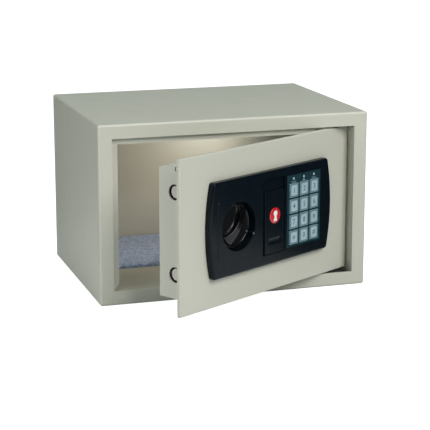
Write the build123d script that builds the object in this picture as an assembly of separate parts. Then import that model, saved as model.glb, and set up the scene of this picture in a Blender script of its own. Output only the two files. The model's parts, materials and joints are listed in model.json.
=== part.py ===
from build123d import *
import math
import os

# In-room safe: folded sheet-steel body with a hinged front door that carries a motor-less
# electronic lock. Millimetres, +Z up. The origin is the middle of the underside of the body,
# X runs to the right seen from the front and Y runs into the safe.
# The door and all it carries are drawn closed, then turned about the hinge axis to the rest pose.

# ---------------------------------------------------------------- driving dimensions
WIDTH = 310.0              # outside of the body
HEIGHT = 200.0
DEPTH = 230.0
SHEET = 2.0                # body sheet steel
BORDER = 15.5              # width of the frame round the door opening
BODY_RADIUS = 2.5          # outside fold radius of the body

DOOR_GAP = 2.0             # gap between door and opening, all round
DOOR_THICKNESS = 4.0
DOOR_RECESS = 1.0          # door face behind the body face when closed
DOOR_REST_ANGLE = 30.0     # the door stands this far open at rest

HINGE_X = 109.5            # hinge axis
HINGE_Y = -106.0
PIN_RADIUS = 3.0
RUNNING_FIT = 0.05         # radial clearance of turning and sliding fits

LOCK_Z = 100.8             # height of the lock's centre line
KNOB_X = -56.0
BOLT_OFFSET = 43.6         # each bolt above or below the lock's centre line
BOLT_RADIUS = 7.0
BOLT_HOLE_RADIUS = 8.3     # clearance hole in the side of the lock cover
BOLT_THROW = 18.0
BOLT_Y = -94.4

PANEL_HALF_HEIGHT = 51.5
PANEL_HALF_WIDTH = 100.0   # at the middle of its bowed ends
PANEL_CORNER_X = 93.5      # at the ends of the bowed ends
PANEL_PROUD = 7.4          # above the door face

KEY_WIDTH = 14.2
KEY_HEIGHT = 15.4
KEY_PITCH_X = 17.3
KEY_PITCH_Z = 17.5
KEYPAD_X = 51.9            # middle of the key field
KEYPAD_Z = 98.8
KEY_CLEARANCE = 0.15
KEY_NAMES = (
    ("key_1", "key_2", "key_3"),
    ("key_4", "key_5", "key_6"),
    ("key_7", "key_8", "key_9"),
    ("key_clear", "key_0", "key_enter"),
)

# ---------------------------------------------------------------- worked-out planes
FRONT = -DEPTH / 2
BACK = DEPTH / 2
INNER_X = WIDTH / 2 - SHEET
INNER_TOP = HEIGHT - SHEET
OPEN_X = WIDTH / 2 - BORDER
OPEN_TOP = HEIGHT - BORDER
DOOR_FACE = FRONT + DOOR_RECESS
DOOR_BACK = DOOR_FACE + DOOR_THICKNESS
DOOR_X = OPEN_X - DOOR_GAP
DOOR_BOTTOM = BORDER + DOOR_GAP
DOOR_TOP = OPEN_TOP - DOOR_GAP
PANEL_FACE = DOOR_FACE - PANEL_PROUD
HINGE_AXIS = Axis((HINGE_X, HINGE_Y, 0), (0, 0, 1))

LIP_WIDTH = 7.0            # door stop lip inside the opening
LIP_FACE = DOOR_BACK + 0.5
LIP_END_X = 95.5           # the top lip stops here, clear of the upper hinge lug

CASE_LEFT = -124.5         # lock cover on the back of the door
CASE_RIGHT = 95.0
CASE_BOTTOM = 31.5
CASE_TOP_REAR = 168.2
CASE_TOP_FRONT = 176.0
CASE_REAR = -72.0
CASE_WALL = 1.5

OVERRIDE_X = 3.3           # emergency lock, behind the slide-off cover of the panel
BARREL_RADIUS = 9.5
PLUG_RADIUS = 6.0

CRANK_RADIUS = BOLT_THROW / (2 * math.sin(math.radians(45)))
CRANK_PIN_RADIUS = 2.5
SPINDLE_RADIUS = 4.0
TANG_RADIUS = 1.6          # drive end of the spindle, inside the knob's grip
CARRIAGE_FRONT = -102.8
CARRIAGE_THICKNESS = 2.5
PLUNGER_X = -40.0
PLUNGER_RADIUS = 3.0
PLUNGER_TRAVEL = 4.5
ARM_BOTTOM = LOCK_Z - 12.8

BASE_HOLE_RADIUS = 5.25
BASE_HOLE_X = 100.0        # half spacing of the four base anchor holes
BASE_HOLE_Y = 50.0
BASE_HOLE_CENTRE_Y = 45.0
WALL_HOLE_X = 100.0        # half spacing of the four wall anchor holes
WALL_HOLE_Z = 50.0


# ---------------------------------------------------------------- helpers
def block(x0, x1, y0, y1, z0, z1):
    """A rectangular block between six planes."""
    centre = Pos((x0 + x1) / 2, (y0 + y1) / 2, (z0 + z1) / 2)
    return centre * Box(x1 - x0, y1 - y0, z1 - z0)


def rod_x(y, z, radius, x0, x1):
    return Pos((x0 + x1) / 2, y, z) * Rot(0, 90, 0) * Cylinder(radius, x1 - x0)


def rod_y(x, z, radius, y0, y1):
    return Pos(x, (y0 + y1) / 2, z) * Rot(90, 0, 0) * Cylinder(radius, y1 - y0)


def rod_z(x, y, radius, z0, z1):
    return Pos(x, y, (z0 + z1) / 2) * Cylinder(radius, z1 - z0)


def rounded_block(x0, x1, y0, y1, z0, z1, radius):
    """A block whose four edges along Y are rounded."""
    solid = block(x0, x1, y0, y1, z0, z1)
    return fillet(solid.edges().filter_by(Axis.Y), radius)


def front_prism(face, y0, y1):
    """A face drawn in the front view (X right, Z up), extruded from y0 to y1."""
    plane = Plane(origin=(0, y1, 0), x_dir=(1, 0, 0), z_dir=(0, -1, 0))
    return extrude(plane * face, y1 - y0)


def grid(xs, zs):
    return [(x, z) for z in zs for x in xs]


# ---------------------------------------------------------------- body
def make_body_shell():
    """Top, sides, bottom and front border folded from one sheet."""
    outer = block(-WIDTH / 2, WIDTH / 2, FRONT, BACK, 0, HEIGHT)
    folds = outer.edges() - outer.edges().group_by(Axis.Y)[-1]
    outer = fillet(folds, BODY_RADIUS)
    inside = block(-INNER_X, INNER_X, FRONT + SHEET, BACK, SHEET, INNER_TOP)
    opening = block(-OPEN_X, OPEN_X, FRONT, FRONT + SHEET, BORDER, OPEN_TOP)
    shell = outer - inside - opening
    for x in (-BASE_HOLE_X, BASE_HOLE_X):
        for y in (BASE_HOLE_CENTRE_Y - BASE_HOLE_Y, BASE_HOLE_CENTRE_Y + BASE_HOLE_Y):
            shell -= rod_z(x, y, BASE_HOLE_RADIUS, 0, SHEET)
    return shell


def make_back_panel():
    panel = block(-INNER_X, INNER_X, BACK - SHEET, BACK, SHEET, INNER_TOP)
    for x, z in grid((-WALL_HOLE_X, WALL_HOLE_X), (LOCK_Z - WALL_HOLE_Z, LOCK_Z + WALL_HOLE_Z)):
        panel -= rod_y(x, z, BASE_HOLE_RADIUS, BACK - SHEET, BACK)
    return panel


def make_stop_frame():
    """L-section welded behind the border at the left and top: return and door stop lip."""
    outside = OPEN_X + SHEET
    inside = OPEN_X - LIP_WIDTH
    y0 = FRONT + SHEET
    y1 = LIP_FACE + SHEET
    left_return = block(-outside, -OPEN_X, y0, y1, BORDER, OPEN_TOP)
    left_lip = block(-outside, -inside, LIP_FACE, y1, BORDER, OPEN_TOP)
    notch = Pos(-inside, 0, BORDER) * Rot(0, 45, 0) * Box(9, DEPTH, 9)
    top_return = block(-outside, LIP_END_X, y0, y1, OPEN_TOP, OPEN_TOP + SHEET)
    top_lip = block(-outside, LIP_END_X, LIP_FACE, y1, OPEN_TOP - LIP_WIDTH, OPEN_TOP + SHEET)
    return left_return + (left_lip - notch) + top_return + top_lip


def make_hinge_jamb():
    """Deep return behind the border on the hinge side."""
    return block(OPEN_X, OPEN_X + SHEET, FRONT + SHEET, -88, SHEET, INNER_TOP)


FLOOR_THICKNESS = 1.5
HINGE_POCKET_X = 96.0      # cut-out of the raised floor round the lower hinge
HINGE_POCKET_Y = -78.0


def make_inner_floor():
    """Raised floor, level with the sill, on a front rail and two long legs."""
    top = BORDER
    gap = 0.2
    rear = BACK - SHEET - gap
    side = INNER_X - gap
    plate = block(-side, side, FRONT + SHEET, rear, top - FLOOR_THICKNESS, top)
    plate += block(-side, -side + FLOOR_THICKNESS, FRONT + SHEET, rear, SHEET, top)
    plate += block(side - FLOOR_THICKNESS, side, HINGE_POCKET_Y, rear, SHEET, top)
    plate += block(-side, HINGE_POCKET_X, FRONT + SHEET, FRONT + SHEET + FLOOR_THICKNESS, SHEET, top)
    plate -= block(HINGE_POCKET_X, WIDTH / 2, FRONT, HINGE_POCKET_Y, 0, top)
    for x in (-BASE_HOLE_X, BASE_HOLE_X):
        for y in (BASE_HOLE_CENTRE_Y - BASE_HOLE_Y, BASE_HOLE_CENTRE_Y + BASE_HOLE_Y):
            plate -= rod_z(x, y, 10, 0, top)
    return plate


def make_floor_mat():
    """Felt mat on the rear of the raised floor."""
    return rounded_mat(-151.5, 151.5, -24, 111.5, BORDER + 0.3, BORDER + 4.5, 4)


def rounded_mat(x0, x1, y0, y1, z0, z1, radius):
    solid = block(x0, x1, y0, y1, z0, z1)
    return fillet(solid.edges().filter_by(Axis.Z), radius)


# ---------------------------------------------------------------- hinge
BRACKET_X0 = 97.5
BRACKET_X1 = 136.5
BRACKET_PLATE = 3.0
BRACKET_BASE = 10.5        # underside of the lower bracket's plate
BUSH_RADIUS = 4.5
BUSH_FLANGE_RADIUS = 5.8
BUSH_FLANGE = 1.0
LUG_BASE = 21.0            # underside of the lower lug
LUG_THICKNESS = 3.0
LUG_X0 = 99.5
LUG_X1 = 119.5
LUG_REAR = -98.0
SPACER_RADIUS = 3.8


def mirrored_in_height(solid):
    """The same piece for the top hinge."""
    return mirror(solid, Plane.XY.offset(HEIGHT / 2))


def make_hinge_bracket():
    """Channel welded to the bottom of the body, with the bearing hole for the pin."""
    y0 = FRONT + SHEET
    y1 = -92
    plate_top = BRACKET_BASE + BRACKET_PLATE
    bracket = block(BRACKET_X0, BRACKET_X1, y0, y1, BRACKET_BASE, plate_top)
    bracket += block(BRACKET_X0, BRACKET_X0 + BRACKET_PLATE, y0, y1, SHEET, plate_top)
    bracket += block(BRACKET_X1 - BRACKET_PLATE, BRACKET_X1, y0, y1, SHEET, plate_top)
    return bracket - rod_z(HINGE_X, HINGE_Y, BUSH_RADIUS, SHEET, plate_top)


def make_hinge_bush():
    plate_top = BRACKET_BASE + BRACKET_PLATE
    bush = rod_z(HINGE_X, HINGE_Y, BUSH_RADIUS, BRACKET_BASE, plate_top)
    bush += rod_z(HINGE_X, HINGE_Y, BUSH_FLANGE_RADIUS, plate_top, plate_top + BUSH_FLANGE)
    return bush - rod_z(HINGE_X, HINGE_Y, PIN_RADIUS + RUNNING_FIT, BRACKET_BASE, plate_top + BUSH_FLANGE)


def make_hinge_lug():
    """Angle welded to the back of the door; the pin is pressed into its shelf."""
    lug = block(LUG_X0, LUG_X1, DOOR_BACK, LUG_REAR, LUG_BASE, LUG_BASE + LUG_THICKNESS)
    lug += block(LUG_X0, LUG_X1, DOOR_BACK, DOOR_BACK + LUG_THICKNESS, LUG_BASE, LUG_BASE + 14)
    return lug - rod_z(HINGE_X, HINGE_Y, PIN_RADIUS, LUG_BASE, LUG_BASE + LUG_THICKNESS)


def make_hinge_pin():
    pin = rod_z(HINGE_X, HINGE_Y, PIN_RADIUS, BRACKET_BASE - 2.5, LUG_BASE + LUG_THICKNESS)
    return chamfer(pin.edges().group_by(Axis.Z)[0], 0.8)


def make_hinge_spacer():
    """Sleeve on the lower pin that carries the door's weight onto the bush."""
    base = BRACKET_BASE + BRACKET_PLATE + BUSH_FLANGE + 0.1
    spacer = rod_z(HINGE_X, HINGE_Y, SPACER_RADIUS, base, LUG_BASE)
    return spacer - rod_z(HINGE_X, HINGE_Y, PIN_RADIUS, base, LUG_BASE)


# ---------------------------------------------------------------- door
KNOB_RADIUS = 23.7
WELL_RADIUS = 26.3         # recess in the panel that the knob turns in
WELL_FLOOR = PANEL_FACE + 8.2
CUP_RADIUS = WELL_RADIUS + 1.2    # cup of the recess, let into the door
CUP_BACK = WELL_FLOOR + 1.0
PANEL_SCREWS = grid((-84, 84), (LOCK_Z - 43, LOCK_Z + 43))
BUSH_BORE = 5.5            # spindle bush hole in the door
CABLE_X = 53.0
CABLE_RADIUS = 2.5


def make_door_plate():
    door = block(-DOOR_X, DOOR_X, DOOR_FACE, DOOR_BACK, DOOR_BOTTOM, DOOR_TOP)
    door = fillet(door.edges().group_by(Axis.Y)[0], 1.0)
    door -= rod_y(KNOB_X, LOCK_Z, CUP_RADIUS, DOOR_FACE, CUP_BACK)
    door -= rod_y(KNOB_X, LOCK_Z, BUSH_BORE, DOOR_FACE, DOOR_BACK)
    door -= rod_y(OVERRIDE_X, LOCK_Z, BARREL_RADIUS, DOOR_FACE, DOOR_BACK)
    door -= rod_y(CABLE_X, LOCK_Z, CABLE_RADIUS, DOOR_FACE, DOOR_BACK)
    for x, z in PANEL_SCREWS:
        door -= rod_y(x, z, 2.0, DOOR_FACE, DOOR_BACK)
    return door


def case_profile(inset):
    """Side view of the lock cover: its top slopes down away from the door."""
    plane = Plane(origin=(0, 0, 0), x_dir=(0, 1, 0), z_dir=(1, 0, 0))
    outline = Polyline(
        (DOOR_BACK, CASE_BOTTOM + inset),
        (CASE_REAR - inset, CASE_BOTTOM + inset),
        (CASE_REAR - inset, CASE_TOP_REAR - inset),
        (DOOR_BACK, CASE_TOP_FRONT - inset),
        close=True,
    )
    return plane * make_face(outline)


SIDE_SCREW_Y = -98.0
SIDE_SCREW_Z = 169.0
BATTERY_X0 = 24.0
BATTERY_X1 = 88.0
BATTERY_Z0 = 68.0
BATTERY_Z1 = 128.0
RESET_X = 40.0
RESET_Z = 48.0
COVER_SCREWS = [(-112, 38), (84, 38), (84, 161.5), (-112, 161.5)]


def make_lock_cover():
    """Folded pan over the lock on the back of the door."""
    outer = Pos(CASE_LEFT, 0, 0) * extrude(case_profile(0), CASE_RIGHT - CASE_LEFT)
    outer = fillet(outer.edges().group_by(Axis.Y)[-1], 1.2)
    inner_length = CASE_RIGHT - CASE_LEFT - 2 * CASE_WALL
    cover = outer - Pos(CASE_LEFT + CASE_WALL, 0, 0) * extrude(case_profile(CASE_WALL), inner_length)
    for z in (LOCK_Z - BOLT_OFFSET, LOCK_Z + BOLT_OFFSET):
        cover -= rod_x(BOLT_Y, z, BOLT_HOLE_RADIUS, CASE_LEFT, CASE_LEFT + CASE_WALL)
    cover -= rod_x(SIDE_SCREW_Y, SIDE_SCREW_Z, 2.6, CASE_LEFT, CASE_LEFT + CASE_WALL)
    hatch_x = (BATTERY_X0 + 2, BATTERY_X1 - 2)
    hatch_z = (BATTERY_Z0 + 2, BATTERY_Z1 - 2)
    cover -= block(*hatch_x, CASE_REAR - CASE_WALL, CASE_REAR, *hatch_z)
    cover -= rod_y(RESET_X, RESET_Z, 3.2, CASE_REAR - CASE_WALL, CASE_REAR)
    for x, z in COVER_SCREWS:
        cover -= rod_y(x, z, 2.1, CASE_REAR - CASE_WALL, CASE_REAR)
    return cover


def make_cover_posts():
    """Threaded posts on the door that the lock cover is screwed to."""
    posts = [rod_y(x, z, 3.5, DOOR_BACK, CASE_REAR - CASE_WALL) for x, z in COVER_SCREWS]
    bores = [rod_y(x, z, 1.7, CASE_REAR - 12, CASE_REAR) for x, z in COVER_SCREWS]
    return [post - bore for post, bore in zip(posts, bores)]


def make_cover_screws():
    """Pan-head screws through the rear of the cover, and the one in its side."""
    screws = []
    for x, z in COVER_SCREWS:
        screw = rod_y(x, z, 1.7, CASE_REAR - 10, CASE_REAR)
        head = fillet(rod_y(x, z, 3.6, CASE_REAR, CASE_REAR + 1.8).edges().group_by(Axis.Y)[-1], 0.8)
        screws.append(screw + head - cross_slot(x, z, CASE_REAR + 1.8))
    screws.append(rod_x(SIDE_SCREW_Y, SIDE_SCREW_Z, 1.8, CASE_LEFT + 0.6, CASE_LEFT + 9))
    return screws


def cross_slot(x, z, y):
    """Cross recess 1 mm deep into a screw head whose top is at y."""
    return block(x - 2, x + 2, y - 1, y, z - 0.4, z + 0.4) + block(x - 0.4, x + 0.4, y - 1, y, z - 2, z + 2)


def make_side_tab():
    """Tab on the back of the door that takes the side screw."""
    x0 = CASE_LEFT + 4
    tab = block(x0, x0 + 3, DOOR_BACK, SIDE_SCREW_Y + 2.4, SIDE_SCREW_Z - 5, SIDE_SCREW_Z + 2.3)
    return tab - rod_x(SIDE_SCREW_Y, SIDE_SCREW_Z, 1.8, CASE_LEFT, CASE_LEFT + 10)


# ---------------------------------------------------------------- knob and bolt work
KNOB_BACK = WELL_FLOOR - 0.4
KNOB_RIM = PANEL_FACE + 5.4
SCOOP_FLOOR = PANEL_FACE + 7.0
GRIP_FACE = PANEL_FACE + 0.4
INDEX_ANGLE = math.radians(-26)


def grip_face():
    """Front view of the curved grip bar, about the knob's centre."""
    left = ThreePointArc((3.0, 21.9), (-2.6, 2.9), (-20.5, -8.6))
    foot = ThreePointArc((-20.5, -8.6), (-16.3, -15.2), (-9.6, -20.2))
    right = ThreePointArc((-9.6, -20.2), (4.9, -3.5), (16.0, 15.3))
    crown = ThreePointArc((16.0, 15.3), (10.4, 19.6), (3.0, 21.9))
    return make_face([left, foot, right, crown])


def make_knob():
    disc = rod_y(KNOB_X, LOCK_Z, KNOB_RADIUS, KNOB_RIM, KNOB_BACK)
    disc = fillet(disc.edges().group_by(Axis.Y)[0], 0.8)
    disc -= rod_y(KNOB_X, LOCK_Z, KNOB_RADIUS - 2.2, KNOB_RIM, SCOOP_FLOOR)
    grip = front_prism(Pos(KNOB_X, LOCK_Z) * grip_face(), GRIP_FACE, SCOOP_FLOOR)
    grip = fillet(grip.edges().group_by(Axis.Y)[0], 1.2)
    return disc + grip - make_spindle() - make_knob_mark()


def make_knob_mark():
    """Index dot on the knob's rim."""
    reach = KNOB_RADIUS - 2.6
    x = KNOB_X + reach * math.cos(INDEX_ANGLE)
    z = LOCK_Z + reach * math.sin(INDEX_ANGLE)
    return rod_y(x, z, 1.1, KNOB_RIM - 0.2, SCOOP_FLOOR)


SPINDLE_END = -103.6
CRANK_FRONT = -108.8
CRANK_REAR = -105.8


def make_spindle():
    """Round spindle with a thinner tang that goes up into the grip."""
    spindle = rod_y(KNOB_X, LOCK_Z, SPINDLE_RADIUS, SCOOP_FLOOR + 0.2, SPINDLE_END)
    return spindle + rod_y(KNOB_X, LOCK_Z, TANG_RADIUS, SCOOP_FLOOR - 4, SCOOP_FLOOR + 0.2)


def make_spindle_bush():
    bush = rod_y(KNOB_X, LOCK_Z, BUSH_BORE, CUP_BACK, DOOR_BACK)
    bush += rod_y(KNOB_X, LOCK_Z, BUSH_BORE + 2, DOOR_BACK, DOOR_BACK + 0.9)
    return bush - rod_y(KNOB_X, LOCK_Z, SPINDLE_RADIUS + RUNNING_FIT, CUP_BACK, DOOR_BACK + 0.9)


def make_crank():
    """Crank on the spindle; its pin drives the bolt carriage through a slot."""
    angle = math.radians(45)
    pin_x = KNOB_X + CRANK_RADIUS * math.sin(angle)
    pin_z = LOCK_Z + CRANK_RADIUS * math.cos(angle)
    crank = rod_y(KNOB_X, LOCK_Z, 8, CRANK_FRONT, CRANK_REAR)
    arm_centre = Pos((KNOB_X + pin_x) / 2, (CRANK_FRONT + CRANK_REAR) / 2, (LOCK_Z + pin_z) / 2)
    crank += arm_centre * Rot(0, 45, 0) * Box(8, CRANK_REAR - CRANK_FRONT, CRANK_RADIUS)
    crank += rod_y(pin_x, pin_z, 4, CRANK_FRONT, CRANK_REAR)
    crank += rod_y(pin_x, pin_z, CRANK_PIN_RADIUS, CRANK_FRONT, CARRIAGE_FRONT + CARRIAGE_THICKNESS + 1)
    return crank - rod_y(KNOB_X, LOCK_Z, SPINDLE_RADIUS, CRANK_FRONT, CRANK_REAR)


def make_crank_clip():
    """Retaining ring behind the crank."""
    ring = rod_y(KNOB_X, LOCK_Z, 6, CRANK_REAR, CRANK_REAR + 1)
    ring -= rod_y(KNOB_X, LOCK_Z, SPINDLE_RADIUS, CRANK_REAR, CRANK_REAR + 1)
    return ring - block(KNOB_X - 1.5, KNOB_X + 1.5, CRANK_REAR, CRANK_REAR + 1, LOCK_Z - 7, LOCK_Z)


FLANGE_X = -84.0           # left side of the carriage, where the bolts are riveted on
FLANGE_THICKNESS = 2.5
ARM_END_X = -15.0
GUIDE_X = -75.5            # fixed posts that the carriage's slots run on
GUIDE_SLOT_HALF = 3.1


def make_bolt_carriage():
    """Slide plate with the crank slot, two notches for the solenoid pin and two guide slots."""
    rear = CARRIAGE_FRONT + CARRIAGE_THICKNESS
    half = BOLT_OFFSET + 12
    strip = block(FLANGE_X, FLANGE_X + 32, CARRIAGE_FRONT, rear, LOCK_Z - half, LOCK_Z + half)
    arm = block(FLANGE_X, ARM_END_X, CARRIAGE_FRONT, rear, ARM_BOTTOM, LOCK_Z + 22)
    flange = block(FLANGE_X, FLANGE_X + FLANGE_THICKNESS, CARRIAGE_FRONT, -86, LOCK_Z - half, LOCK_Z + half)
    carriage = strip + arm + flange
    pin_x = KNOB_X + BOLT_THROW / 2
    slot_z = (LOCK_Z + 5, LOCK_Z + 17)
    slot_half = CRANK_PIN_RADIUS + 0.6
    carriage -= block(pin_x - slot_half, pin_x + slot_half, CARRIAGE_FRONT, rear, *slot_z)
    for notch_x in (PLUNGER_X, PLUNGER_X + BOLT_THROW):
        half_notch = PLUNGER_RADIUS + 0.4
        notch_z = (ARM_BOTTOM, ARM_BOTTOM + PLUNGER_TRAVEL + 0.5)
        carriage -= block(notch_x - half_notch, notch_x + half_notch, CARRIAGE_FRONT, rear, *notch_z)
    for z in guide_heights():
        ends = (GUIDE_X, GUIDE_X + BOLT_THROW)
        carriage -= block(*ends, CARRIAGE_FRONT, rear, z - GUIDE_SLOT_HALF, z + GUIDE_SLOT_HALF)
        for end in ends:
            carriage -= rod_y(end, z, GUIDE_SLOT_HALF, CARRIAGE_FRONT, rear)
    for z in (LOCK_Z - BOLT_OFFSET, LOCK_Z + BOLT_OFFSET):
        carriage -= rod_x(BOLT_Y, z, 4, FLANGE_X, FLANGE_X + FLANGE_THICKNESS)
    return carriage


def guide_heights():
    return (LOCK_Z - 30, LOCK_Z + 30)


def make_carriage_guides():
    """Shouldered guide posts for the carriage, riveted to the door."""
    guides = []
    for z in guide_heights():
        rear = CARRIAGE_FRONT + CARRIAGE_THICKNESS
        post = rod_y(GUIDE_X, z, 5, DOOR_BACK, CARRIAGE_FRONT - 0.3)
        post += rod_y(GUIDE_X, z, 3, CARRIAGE_FRONT - 0.3, rear + 0.3)
        guides.append(post + rod_y(GUIDE_X, z, 5, rear + 0.3, rear + 1.5))
    return guides


BOLT_TIP = CASE_LEFT + 2.0


def make_bolt(z):
    """Round bolt with a spigot riveted through the carriage flange."""
    bolt = rod_x(BOLT_Y, z, BOLT_RADIUS, BOLT_TIP, FLANGE_X)
    bolt = chamfer(bolt.edges().group_by(Axis.X)[0], 0.8)
    return bolt + rod_x(BOLT_Y, z, 4, FLANGE_X, FLANGE_X + FLANGE_THICKNESS)


def make_bolt_guide():
    """Upright plate just inside the cover with a running hole for each bolt."""
    x0 = CASE_LEFT + 10
    guide = block(x0, x0 + 3, DOOR_BACK, -84, LOCK_Z - 56, LOCK_Z + 56)
    guide += block(x0, x0 + 12, DOOR_BACK, DOOR_BACK + 2, LOCK_Z - 56, LOCK_Z + 56)
    for z in (LOCK_Z - BOLT_OFFSET, LOCK_Z + BOLT_OFFSET):
        guide -= rod_x(BOLT_Y, z, BOLT_RADIUS + RUNNING_FIT, x0, x0 + 3)
    return guide


# ---------------------------------------------------------------- solenoid
SOLENOID_Z0 = 50.0
SOLENOID_Z1 = 76.0
PLUNGER_Y = CARRIAGE_FRONT + CARRIAGE_THICKNESS / 2
PLUNGER_COLLAR_Z = SOLENOID_Z1 + 3.5


def make_solenoid():
    body = block(PLUNGER_X - 11, PLUNGER_X + 11, DOOR_BACK, PLUNGER_Y + 9, SOLENOID_Z0, SOLENOID_Z1)
    bore = rod_z(PLUNGER_X, PLUNGER_Y, PLUNGER_RADIUS + RUNNING_FIT, SOLENOID_Z0 + 6, SOLENOID_Z1)
    return body - bore


def make_solenoid_plunger():
    tip = ARM_BOTTOM - 0.5
    plunger = rod_z(PLUNGER_X, PLUNGER_Y, PLUNGER_RADIUS, SOLENOID_Z0 + 7, tip)
    collar = rod_z(PLUNGER_X, PLUNGER_Y, PLUNGER_RADIUS + 2, PLUNGER_COLLAR_Z, PLUNGER_COLLAR_Z + 1.2)
    return plunger + collar


def make_plunger_spring():
    """Return spring, drawn as its outer sleeve."""
    z0 = SOLENOID_Z1
    z1 = PLUNGER_COLLAR_Z - 0.1
    sleeve = rod_z(PLUNGER_X, PLUNGER_Y, PLUNGER_RADIUS + 1.6, z0, z1)
    return sleeve - rod_z(PLUNGER_X, PLUNGER_Y, PLUNGER_RADIUS + 0.4, z0, z1)


# ---------------------------------------------------------------- emergency lock
BARREL_FRONT = PANEL_FACE + 3.4
BARREL_REAR = -92.0


def make_override_barrel():
    """Cylinder lock body, through the panel and the door, with a nut collar inside."""
    barrel = rod_y(OVERRIDE_X, LOCK_Z, BARREL_RADIUS, BARREL_FRONT, BARREL_REAR)
    barrel += rod_y(OVERRIDE_X, LOCK_Z, BARREL_RADIUS + 3, DOOR_BACK, DOOR_BACK + 3)
    return barrel - rod_y(OVERRIDE_X, LOCK_Z, PLUG_RADIUS + RUNNING_FIT, BARREL_FRONT, BARREL_REAR)


def make_override_plug():
    """Turning core with the keyway."""
    plug = rod_y(OVERRIDE_X, LOCK_Z, PLUG_RADIUS, BARREL_FRONT + 0.3, BARREL_REAR + 0.5)
    plug += rod_y(OVERRIDE_X, LOCK_Z, 3, BARREL_REAR + 0.5, BARREL_REAR + 5)
    keyway = rod_y(0, 0, 4, BARREL_FRONT, BARREL_FRONT + 12) & block(-0.8, 0.8, BARREL_FRONT, BACK, -4, 4)
    return plug - Pos(OVERRIDE_X, 0, LOCK_Z) * keyway


def make_override_cam():
    """Cam on the core; it stands up at rest and turns towards the hinge."""
    y0 = BARREL_REAR + 0.8
    cam = block(OVERRIDE_X - 5, OVERRIDE_X + 5, y0, y0 + 2, LOCK_Z, LOCK_Z + 15)
    cam += rod_y(OVERRIDE_X, LOCK_Z, 6, y0, y0 + 2)
    return cam - rod_y(OVERRIDE_X, LOCK_Z, 3, y0, y0 + 2)


# ---------------------------------------------------------------- front panel
STRIP_X0 = -17.0
STRIP_X1 = 19.5
STRIP_Z0 = LOCK_Z - 40.3
STRIP_Z1 = LOCK_Z + 42.7
COVER_X0 = STRIP_X0 + 4.3   # the lid leaves a groove open at its left
COVER_X1 = STRIP_X1 - 0.4
COVER_TOP = LOCK_Z + 29.5
COVER_FACE = PANEL_FACE + 0.5
COVER_BACK = PANEL_FACE + 2.6
FIELD_X0 = 23.2            # dark field round the keys
FIELD_X1 = 81.2
FIELD_Z0 = 62.0
FIELD_Z1 = 142.4
FIELD_SINK = 0.6           # the field lies this far below the panel's face
BEZEL_THICKNESS = 1.2
FIELD_FACE = PANEL_FACE + FIELD_SINK
FIELD_BACK = FIELD_FACE + BEZEL_THICKNESS
BOARD_FRONT = DOOR_FACE - 3.2
BOARD_THICKNESS = 1.4


def panel_outline(inset):
    """Straight top and bottom, bowed ends."""
    top = LOCK_Z + PANEL_HALF_HEIGHT - inset
    bottom = LOCK_Z - PANEL_HALF_HEIGHT + inset
    corner = PANEL_CORNER_X - inset
    bow = PANEL_HALF_WIDTH - inset
    edges = [
        Line((-corner, bottom), (corner, bottom)),
        ThreePointArc((corner, bottom), (bow, LOCK_Z), (corner, top)),
        Line((corner, top), (-corner, top)),
        ThreePointArc((-corner, top), (-bow, LOCK_Z), (-corner, bottom)),
    ]
    return make_face(edges)


def index_place(reach):
    return KNOB_X + reach * math.cos(INDEX_ANGLE), LOCK_Z + reach * math.sin(INDEX_ANGLE)


def make_panel_housing():
    body = front_prism(panel_outline(0), PANEL_FACE, DOOR_FACE)
    body = fillet(body.edges().filter_by(Axis.Y), 3.5)
    body = fillet(body.edges().group_by(Axis.Y)[0], 2.4)
    raised = rounded_block(KNOB_X - 32.5, KNOB_X + 32.5, PANEL_FACE - 0.6, PANEL_FACE + 1,
                           LOCK_Z - 32, LOCK_Z + 31, 4)
    body += chamfer(raised.edges().group_by(Axis.Y)[0], 0.5)
    body += rod_y(KNOB_X, LOCK_Z, CUP_RADIUS, DOOR_FACE, CUP_BACK)
    well = rod_y(KNOB_X, LOCK_Z, WELL_RADIUS, PANEL_FACE - 1, WELL_FLOOR)
    index_x, index_z = index_place(WELL_RADIUS - 0.3)
    body -= well - rod_y(index_x, index_z, 2.0, PANEL_FACE - 1, WELL_FLOOR)
    body -= rod_y(KNOB_X, LOCK_Z, SPINDLE_RADIUS + 0.4, WELL_FLOOR, CUP_BACK)
    body -= rounded_block(STRIP_X0, STRIP_X1, PANEL_FACE, COVER_BACK, STRIP_Z0, STRIP_Z1, 1.5)
    body -= rod_y(OVERRIDE_X, LOCK_Z, BARREL_RADIUS, PANEL_FACE, DOOR_FACE)
    body -= rounded_block(FIELD_X0, FIELD_X1, PANEL_FACE, FIELD_BACK, FIELD_Z0, FIELD_Z1, 1.5)
    body -= block(FIELD_X0 + 1.5, FIELD_X1 - 1.5, PANEL_FACE, DOOR_FACE, FIELD_Z0 + 1.5, FIELD_Z1 - 1.5)
    for x, z in PANEL_SCREWS:
        body -= rod_y(x, z, 1.7, DOOR_FACE - 5, DOOR_FACE)
    return body - index_socket()


def index_socket():
    index_x, index_z = index_place(WELL_RADIUS - 0.3)
    return rod_y(index_x, index_z, 1.2, PANEL_FACE - 1, PANEL_FACE + 1)


def make_index_mark():
    """Index dot beside the knob."""
    index_x, index_z = index_place(WELL_RADIUS - 0.3)
    return rod_y(index_x, index_z, 1.2, PANEL_FACE - 0.75, PANEL_FACE + 1)


def make_panel_screws():
    """Screws from inside the door into the panel."""
    screws = []
    for x, z in PANEL_SCREWS:
        shank = rod_y(x, z, 1.7, DOOR_FACE - 4.5, DOOR_BACK)
        screws.append(shank + rod_y(x, z, 3.5, DOOR_BACK, DOOR_BACK + 2))
    return screws


def key_places():
    """Name and centre of each key, row by row from the top."""
    for row, names in enumerate(KEY_NAMES):
        for column, name in enumerate(names):
            yield name, KEYPAD_X + (column - 1) * KEY_PITCH_X, KEYPAD_Z + (1.5 - row) * KEY_PITCH_Z


LED_Z = 138.0
LED_RADIUS = 1.3


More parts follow.
